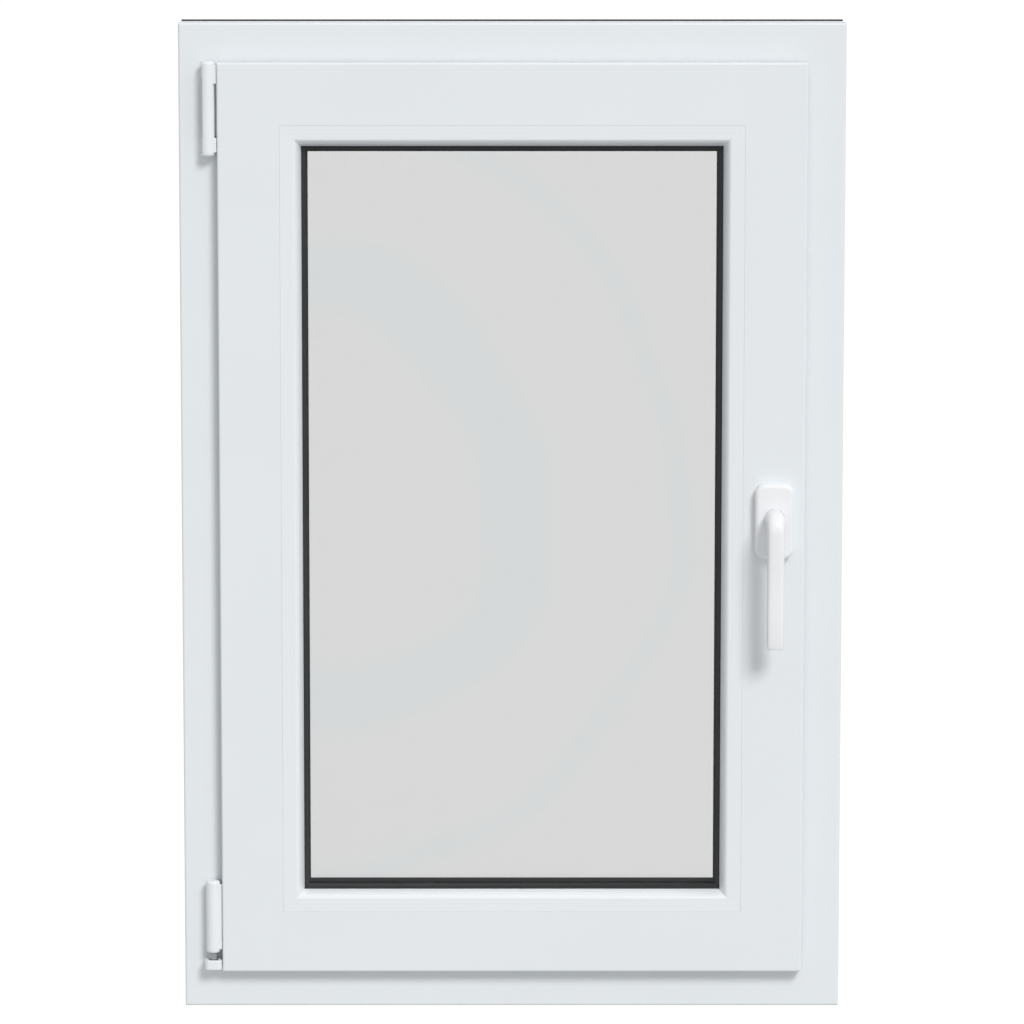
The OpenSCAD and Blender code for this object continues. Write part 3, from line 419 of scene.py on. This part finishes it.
# Injection-moulded ABS with a spark-eroded tool's fine grain, drawn at 0.8 mm so that it shows.
ABS = moulded("moulded_abs_white", "#F2F5F7", "#EBEFF2", 0.36, 0.8, 0.06)
# Powder-coated die-cast aluminium: orange peel of about 1 mm under a soft gloss.
POWDER = moulded("powder_coated_aluminium", "#F8F9FA", "#F1F3F5", 0.30, 1.1, 0.08, ior=1.52)
# EPDM rubber, extruded: nearly black, dull, faintly grainy.
RUBBER = moulded("epdm_rubber", "#1E2021", "#2B2D2E", 0.62, 0.7, 0.25, ior=1.52)
# Warm-edge spacer: black polymer with a satin skin.
SPACER = moulded("warm_edge_polymer", "#26282A", "#323436", 0.48, 0.9, 0.15)
# Polysulphide: hand-filled, so lumpy and dull.
SEALANT = moulded("polysulphide_sealant", "#1A1B1C", "#2A2B2D", 0.75, 3.0, 0.6)
# Coloured polypropylene, as packers are told apart by colour: waxy, even gloss.
PACKER = moulded("polypropylene_packer", "#2F5E93", "#3E6FA5", 0.42, 1.0, 0.12)
# Acetal: off-white and slippery, so a little glossier than the covers.
BUSH = moulded("acetal_bush", "#DCDCD6", "#CFCFC8", 0.38, 0.9, 0.08, ior=1.48)
# Zinc-plated and passivated steel: silvery with a slight cloud in its gloss.
ZINC = moulded("zinc_plated_steel", "#C3C7CC", "#D5D8DA", 0.32, 1.6, 0.08, metal=1.0)
# Bright drawn steel with light machining marks.
STEEL = moulded("bright_drawn_steel", "#C9CBCD", "#B9BBBE", 0.26, 0.6, 0.10, metal=1.0)
GALVANISED = galvanised()
GLASS = glass()


# ---------- outer frame ----------

# The profiles' main lines in mm: in from the outer edge, and in depth behind the room face.
FRAME_WEB, FRAME_UPSTAND = 43, 64
FRAME_REBATE = 47
SASH_FRONT, SASH_BACK = -15.4, 44
SASH_LIP_BACK = -3                      # behind it lies the frame's face, which the lip laps over
SASH_FITTINGS = 20                      # edge that carries the faceplates
SASH_BEAD, SASH_SIGHT = 56, 75          # where the bead starts, and where the glass shows
SASH_REBATE = 27                        # stop behind the glass unit

FIXING_HOLE = 3.75                      # radius
FIXING_DEPTH = 28 * MM                  # behind the room face
FIXING_RISE = 300 * MM                  # above and below the middle of the frame


def make_frame():
    low, high = FRAME
    depth = (high.y - low.y) / MM
    section = [(0, 0, 2.0), (FRAME_WEB, 0, 0.8), (FRAME_WEB, FRAME_REBATE, 0.3),
               (FRAME_UPSTAND, FRAME_REBATE, 0.9), (FRAME_UPSTAND, depth, 0.9), (0, depth, 0.9)]
    # Two shallow grooves for the wall seal run round the outside.
    for back, front in ((46, 41), (19, 14)):
        section += [(0, back, 0.3), (1.2, back - 0.4, 0), (1.2, front + 0.4, 0), (0, front, 0.3)]
    names = ("frame_head_profile", "frame_jamb_right_profile", "frame_sill_profile",
             "frame_jamb_left_profile")
    nodes = ("frame_head", "frame_jamb_right", "frame_sill", "frame_jamb_left")
    bars = members(ring("frame_ring", low, high, section), low, high, names)
    middle = (low + high) / 2
    for bar, node in zip(bars, nodes):
        if "jamb" in node:
            inner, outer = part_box(node)
            for rise in (-FIXING_RISE, FIXING_RISE):
                y, z = ROOM_FACE + FIXING_DEPTH, middle.z + rise
                hole = turned("hole", FIXING_HOLE, (inner.x - PAST, y, z), (outer.x + PAST, y, z))
                boolean(bar, hole)
        finished(bar, UPVC_STILE if "jamb" in node else UPVC_RAIL, "frame", [node])


def make_frame_seals():
    low, high = FRAME
    # A soft lip on the upstand, bulging towards the sash.
    section = [(56, 46.95, 0), (56.7, 46.0, 0), (57.6, 45.0, 0), (58.8, 44.6, 0), (60.0, 44.8, 0),
               (60.9, 45.5, 0), (61.5, 46.3, 0), (62, 46.95, 0)]
    finished(ring("frame_gasket", low, high, section), RUBBER, "frame", ["frame_seal"], 50)
    low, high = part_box("head_seal")
    strip = block("head_strip", low, high)
    bevel(strip, lambda a, b: runs("x", a, b) and min(a.z, b.z) > high.z - NEAR, 0.6, 3)
    finished(strip, RUBBER, "frame", ["head_seal"])


def make_drain_caps():
    low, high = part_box("drainage_caps")
    z = (low.z + high.z) / 2
    half_w, half_h, thick = 14 * MM, 5 * MM, 2.5 * MM
    hood_w, hood_foot, hood_head = 11 * MM, z - MM, z + 4.8 * MM
    caps = []
    for x in (low.x + half_w, high.x - half_w):
        plate = block("drain_cap", (x - half_w, low.y, z - half_h), (x + half_w, low.y + thick, z + half_h))
        bevel(plate, lambda a, b: runs("y", a, b), 2.0, 4)
        hood = block("hood", (x - hood_w, low.y + 2 * MM, hood_foot), (x + hood_w, high.y, hood_head))
        bevel(hood, lambda a, b: min(a.y, b.y) > high.y - NEAR or runs("y", a, b), 0.8, 3)
        boolean(plate, hood, "UNION")
        caps.append(plate)
    pick_only(caps[1])
    caps[0].select_set(True)
    bpy.context.view_layer.objects.active = caps[0]
    bpy.ops.object.join()
    caps[0].name = "drain_caps"
    finished(caps[0], ABS, "frame", ["drainage_caps"])


# ---------- sash ----------

def make_sash():
    low, high = SASH
    # Face and glazing rebate, back, the stepped groove for the fittings, and the lip.
    plate, channel = SASH_FITTINGS + 3, SASH_FITTINGS + 8.5
    section = [(0, SASH_FRONT, 2.0), (SASH_BEAD, SASH_FRONT, 0.15), (SASH_BEAD, SASH_REBATE, 0),
               (SASH_SIGHT, SASH_REBATE, 0.3), (SASH_SIGHT, SASH_BACK, 0.9),
               (SASH_FITTINGS, SASH_BACK, 0.9), (SASH_FITTINGS, 18, 0.3), (plate, 18, 0),
               (plate, 16, 0.3), (channel, 16, 0), (channel, 4, 0), (plate, 4, 0.3), (plate, 2, 0),
               (SASH_FITTINGS, 2, 0.3), (SASH_FITTINGS, SASH_LIP_BACK, 0.3), (0, SASH_LIP_BACK, 0.5)]
    names = ("sash_top_profile", "sash_lock_profile", "sash_bottom_profile", "sash_hinge_profile")
    nodes = ("sash_top_rail", "sash_lock_stile", "sash_bottom_rail", "sash_hinge_stile")
    bars = members(ring("sash_ring", low, high, section), low, high, names)
    lock_bar = bars[1]
    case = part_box("gearbox_case")
    groove_floor = high.x - 23.2 * MM
    boolean(lock_bar, block("pocket", case[0], (groove_floor, case[1].y, case[1].z)))
    spindle_hole = 7.0
    boolean(lock_bar, turned("hole", spindle_hole, (SPINDLE.x, SASH_FACE - PAST, SPINDLE.z),
                             (SPINDLE.x, case[0].y + MM, SPINDLE.z)))
    for bar, node in zip(bars, nodes):
        finished(bar, UPVC_STILE if "stile" in node else UPVC_RAIL, "sash", [node])


def make_beads():
    low, high = SASH
    # The bead rolls over, ever steeper, from its face to the glass.
    steps = [k / 10 for k in range(11)]
    start, roll, drop = SASH_FRONT + 0.35, 7.0, 12.05
    curve = [(SASH_SIGHT - roll + roll * t, start + drop * t ** 2.1, 0) for t in steps]
    # Its face lies a hair behind the sash's, and its foot clips in front of the glass.
    edge = SASH_BEAD + 0.05
    section = [(edge, SASH_FRONT + 0.05, 0.15)] + curve + [(edge + 2.95, -3, 0), (edge + 2.95, 5, 0),
                                                           (edge, 5, 0)]
    names = ("bead_top_moulding", "bead_right_moulding", "bead_bottom_moulding", "bead_left_moulding")
    nodes = ("bead_top", "bead_right", "bead_bottom", "bead_left")
    for bar, node in zip(members(ring("bead_ring", low, high, section), low, high, names), nodes):
        stands = node in ("bead_left", "bead_right")
        finished(bar, BEAD_STILE if stands else BEAD_RAIL, "sash", [node], 50)


def make_glazing_seals():
    low, high = SASH
    # Half of a lip that bulges towards the middle of the pane: (in from the edge, off the glass).
    lip = [(64, 0), (64, 2.95), (76.0, 2.95), (77.3, 2.8), (78.5, 2.3), (79.4, 1.5), (79.9, 0.7), (79.7, 0)]
    for name, node, front, way in (("inner_gasket", "inner_glazing_seal", -0.03, -1),
                                   ("outer_gasket", "outer_glazing_seal", 24.03, 1)):
        section = [(u, front + way * y, 0) for u, y in lip]
        finished(ring(name, low, high, section), RUBBER, "sash", [node], 50)


# ---------- handle ----------

def make_rosette():
    low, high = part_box("rosette_cover")
    cover = block("rosette_cap", low, high)
    bevel(cover, lambda a, b: runs("y", a, b), 9.0, 10)
    bevel(cover, lambda a, b: max(a.y, b.y) < low.y + NEAR, 3.5, 7)
    wall, front = 2.5 * MM, 4 * MM
    boolean(cover, block("hollow", (low.x + wall, low.y + front, low.z + wall),
                         (high.x - wall, high.y + PAST, high.z - wall)))
    neck_hole = 9.1
    boolean(cover, turned("hole", neck_hole, (SPINDLE.x, low.y - PAST, SPINDLE.z),
                          (SPINDLE.x, high.y, SPINDLE.z), 64))
    finished(cover, POWDER, "sash", ["rosette_cover"])


# Middle of the lever's bar from the rosette to the tip, in mm from the spindle at the sash's face:
# forward, up, half width, half thickness, turn from straight forward in degrees, squareness.
LEVER = [
    (0.4, 0, 9.0, 9.0, 0, 0), (12, 0, 9.0, 9.0, 0, 0),
    (19, 0, 9.0, 9.0, 0, 0), (24.6, -0.1, 8.9, 8.9, 4, 0.05),
    (28.8, -0.7, 8.8, 8.7, 16, 0.15), (32.1, -2.4, 8.5, 8.4, 34, 0.3),
    (34.2, -5.2, 8.2, 8.0, 54, 0.45), (35.0, -9.0, 8.0, 7.5, 72, 0.6),
    (34.9, -14, 7.9, 7.0, 84, 0.75), (34.6, -22, 7.8, 6.7, 88, 0.85),
    (34.2, -34, 7.8, 6.5, 89, 0.85), (33.9, -48, 7.8, 6.4, 90, 0.85),
    (33.7, -62, 7.8, 6.2, 90, 0.85), (33.6, -76, 7.8, 6.0, 91, 0.85),
    (33.4, -88, 7.8, 5.8, 92, 0.85), (33.0, -98, 7.8, 5.7, 94, 0.85),
    (32.4, -106, 7.8, 5.5, 96, 0.85), (31.9, -111.5, 7.75, 5.3, 98, 0.85),
    (31.6, -114.4, 7.6, 5.1, 99, 0.85), (31.5, -115.6, 6.9, 4.5, 99, 0.8),
]
LEVER_SPOKES = 32


def make_lever():
    """The bar bends in one sweep from the neck to the grip, which no single operator shapes."""
    face = SASH_FACE
    foot = face - LEVER[0][0] * MM
    points = []
    for forward, up, half_w, half_t, turn, square in LEVER:
        power = 1 - 0.55 * square
        tilt = radians(turn)
        for k in range(LEVER_SPOKES):
            a = 2 * pi * k / LEVER_SPOKES
            c, s = cos(a), sin(a)
            side = half_w * abs(c) ** power * (1 if c > 0 else -1)
            lift = half_t * abs(s) ** power * (1 if s > 0 else -1)
            y = face - (forward + lift * sin(tilt)) * MM
            z = SPINDLE.z + (up + lift * cos(tilt)) * MM
            points.append((SPINDLE.x + side * MM, y, z))
    n = LEVER_SPOKES
    faces = [(r * n + k, r * n + (k + 1) % n, (r + 1) * n + (k + 1) % n, (r + 1) * n + k)
             for r in range(len(LEVER) - 1) for k in range(n)]
    faces += [tuple(range(n)), tuple(range(len(points) - n, len(points)))]
    mesh = bpy.data.meshes.new("lever_grip")
    mesh.from_pydata(points, [], faces)
    lever = bpy.data.objects.new("lever_grip", mesh)
    bpy.context.scene.collection.objects.link(lever)
    outward(lever)
    # A narrow rim inside each end keeps it crisp when the bar is smoothed.
    choose(lever, "FACE", lambda centre, normal: abs(centre.y - foot) < NEAR)
    bpy.ops.mesh.inset(thickness=0.6 * MM)
    done()
    choose(lever, "FACE", lambda centre, normal: centre.z < SPINDLE.z - 110 * MM and normal.z < -0.8)
    bpy.ops.mesh.inset(thickness=0.8 * MM)
    done()
    modifier = lever.modifiers.new("smooth", "SUBSURF")
    modifier.levels = modifier.render_levels = 1
    pick_only(lever)
    bpy.ops.object.modifier_apply(modifier=modifier.name)
    half, deep = 3.6 * MM, 17 * MM
    boolean(lever, block("socket", (SPINDLE.x - half, face - deep, SPINDLE.z - half),
                         (SPINDLE.x + half, face + PAST, SPINDLE.z + half)))
    finished(lever, POWDER, "handle", ["handle_lever"], 50)


# ---------- hinge covers ----------

def on_axis(z):
    """The place on the hinge axis at a height."""
    return (PIN.x, PIN.y, z)


CAP_RADIUS = 6.5
CAP_END = 2.6                           # rounding of a cap's ends
CAP_MARGIN = 3.5 * MM                   # from a cap's end to its flange


def cap_shell(name, low, high, wings):
    """A round cover over the hinge axis, with rounded ends and flanges that close it to the sash.

    Each wing is the lowest and the highest point of one flange.
    """
    shell = turned(name, CAP_RADIUS, on_axis(low.z), on_axis(high.z), 64)
    bevel(shell, lambda a, b: not runs("z", a, b), CAP_END, 6)
    front, back = PIN.y - 4.2 * MM, PIN.y + 0.5 * MM
    edge = SASH[0].x - 0.4 * MM
    for foot, head in wings:
        wing = block("wing", (PIN.x, front, foot), (edge, back, head))
        bevel(wing, lambda a, b: max(a.x, b.x) > PIN.x + 5 * MM and max(a.y, b.y) < PIN.y, 0.6, 3)
        boolean(shell, wing, "UNION")
    return shell


def back_slot(foot, head):
    """The block that cuts a cap open behind, on the sash's side, between two heights."""
    return block("slot", (PIN.x, PIN.y + 3 * MM, foot), (PIN.x + 10 * MM, PIN.y + 10 * MM, head))


def make_strap_cover():
    """The lower cover turns with the sash. It is open below, and behind for the strap."""
    low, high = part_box("hinge_strap_cover")
    shell = cap_shell("strap_cap", low, high, [(low.z + CAP_MARGIN, high.z - CAP_MARGIN)])
    knuckle, end_wall = 5.55, MM
    boolean(shell, turned("bore", knuckle, on_axis(low.z - PAST), on_axis(high.z - end_wall), 64))
    boolean(shell, back_slot(low.z + 6 * MM, high.z - end_wall))
    finished(shell, ABS, "sash", ["hinge_strap_cover"])


def make_stay_cover():
    """The upper cover turns with the stay arm, so it is open where the frame's lugs reach the pin."""
    low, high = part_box("stay_cover")
    shell = cap_shell("stay_cap", low, high, [(low.z + CAP_MARGIN, low.z + 16.5 * MM),
                                              (high.z - 20 * MM, high.z - CAP_MARGIN)])
    knuckle, end_wall = 5.62, 2.5 * MM
    boolean(shell, turned("bore", knuckle, on_axis(low.z + end_wall), on_axis(high.z - end_wall), 64))
    # The lugs' way is a wedge between these two directions, in degrees seen from above.
    wedge = turned("wedge", 12, on_axis(low.z + 3 * MM), on_axis(high.z - 3 * MM), 72)
    for direction, keep in ((63, 90), (229, -90)):
        a = radians(direction + keep)
        edit(wedge)
        bpy.ops.mesh.select_all(action="SELECT")
        bpy.ops.mesh.bisect(plane_co=PIN, plane_no=(cos(a), sin(a), 0), use_fill=True, clear_inner=True)
        done()
    outward(wedge)
    boolean(shell, wedge)
    boolean(shell, back_slot(low.z + 17 * MM, high.z - 15 * MM))
    finished(shell, ABS, "stay_arm", ["stay_cover"])


def make_bearing_cover():
    """The cap on the corner bearing: a rounded box, hollow behind and open above round the pivot."""
    low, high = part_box("corner_bearing_cover")
    shell = block("bearing_cap", low, high)
    bevel(shell, lambda a, b: runs("z", a, b) and max(a.y, b.y) < low.y + NEAR, 4.5, 8)
    bevel(shell, lambda a, b: not runs("z", a, b) and min(a.y, b.y) < ROOM_FACE - NEAR, 0.9, 4)
    side, front, lip = 6.7 * MM, 3.5 * MM, 0.8 * MM
    boolean(shell, block("hollow", (PIN.x - side, PIN.y - front, low.z + lip),
                         (PIN.x + side, ROOM_FACE + PAST, high.z - lip)))
    pivot_hole = 4.4
    boolean(shell, turned("hole", pivot_hole, on_axis(low.z + 4 * MM), on_axis(high.z + PAST)))
    finished(shell, ABS, "frame", ["corner_bearing_cover"])


# ---------- CAD nodes that stay as they are ----------

NODE_FINISH = (
    (GALVANISED, "frame_reinforcement sash_reinforcement"),
    (ZINC, "strike_plates corner_bearing hinge_strap stay_rail top_faceplate lock_faceplate"
           " bottom_faceplate gearbox_case corner_drives rosette_base stay_slider"),
    (STEEL, "strike_screws corner_tilt_pin stay_pivot_pin bearing_screws corner_pivot"
            " hinge_strap_screws faceplate_screws rosette_screws handle_spindle drive_pinion"
            " lock_rod lock_cams top_rod bottom_rod stay_arm"),
    (BUSH, "hinge_strap_bush stay_bush"),
    (ABS, "stay_bearing"),
    (RUBBER, "sash_seal"),
    (GLASS, "inner_pane outer_pane"),
    (SPACER, "spacer_bar"),
    (SEALANT, "edge_sealant"),
    (PACKER, "glazing_packers"),
)


def finish_nodes():
    for material, names in NODE_FINISH:
        for name in names.split():
            mesh = frame["nodes"][name].data
            mesh.materials.clear()
            mesh.materials.append(material)


# ---------- stage, light and camera ----------

def make_stage():
    pick_only(None)
    bpy.ops.mesh.primitive_plane_add(size=120, location=(0, 0, -MM))
    floor = new_piece("studio_floor")
    # Painted board, lit from within so that it stays white: the dark paint only takes a faint shadow.
    material, tree, place = blank("painted_floor")
    grain = add(tree, "ShaderNodeTexNoise", {"Vector": place, "Scale": 60.0, "Detail": 2.0})
    colour = add(tree, "ShaderNodeMix", {FACTOR: grain.outputs[0], FIRST: "#2C2C2C", SECOND: "#282828"},
                 data_type="RGBA")
    paint = add(tree, "ShaderNodeBsdfDiffuse", {"Color": colour.outputs[MIXED]})
    lit = add(tree, "ShaderNodeEmission", {"Color": "#FFFFFF", "Strength": 1.0})
    both = add(tree, "ShaderNodeAddShader", {0: paint.outputs[0], 1: lit.outputs[0]})
    add(tree, "ShaderNodeOutputMaterial", {"Surface": both.outputs[0]})
    floor.data.materials.append(material)
    # The floor shows and is seen through the glass, but throws no light back on the window.
    floor.visible_diffuse = False
    floor.visible_glossy = False
    floor.visible_shadow = False

    world = bpy.data.worlds.new("studio")
    bpy.context.scene.world = world
    world.use_nodes = True
    tree = world.node_tree
    tree.nodes.clear()
    ray = add(tree, "ShaderNodeLightPath")
    shown = add(tree, "ShaderNodeBackground", {"Color": "#FFFFFF", "Strength": 1.02})
    fill = add(tree, "ShaderNodeBackground", {"Color": "#FDFEFF", "Strength": 0.54})
    both = add(tree, "ShaderNodeMixShader", {0: ray.outputs["Is Camera Ray"], 1: fill.outputs[0],
                                             2: shown.outputs[0]})
    add(tree, "ShaderNodeOutputWorld", {"Surface": both.outputs[0]})

    # A key from the upper right of the room side, and a weak one that picks out the outdoor side.
    for name, energy, spread, way in (("key", 1.67, 19, (0.47, -1.0, 0.85)),
                                      ("outdoor", 0.8, 25, (0.6, 1.0, 0.7))):
        lamp = bpy.data.lights.new(name, "SUN")
        lamp.energy = energy
        lamp.angle = radians(spread)
        sun = bpy.data.objects.new(name, lamp)
        sun.rotation_euler = Vector(way).to_track_quat("Z", "Y").to_euler()
        bpy.context.scene.collection.objects.link(sun)


def make_camera():
    """A long lens in front of the room side, a little above it, so that the sides stay nearly upright."""
    lens = bpy.data.cameras.new("camera")
    lens.lens = 175.7
    lens.sensor_width = 36
    lens.shift_x = 0.0186
    lens.clip_end = 500
    camera = bpy.data.objects.new("camera", lens)
    camera.location = (-0.0174, -4.53, 1.045)
    camera.rotation_euler = (radians(90 - 7.435), 0, 0)
    bpy.context.scene.collection.objects.link(camera)
    bpy.context.scene.camera = camera
    bpy.context.scene.view_settings.view_transform = "Standard"


make_camera()
make_stage()
make_frame()
make_frame_seals()
make_drain_caps()
make_sash()
make_beads()
make_glazing_seals()
make_rosette()
make_lever()
make_strap_cover()
make_stay_cover()
make_bearing_cover()
finish_nodes()
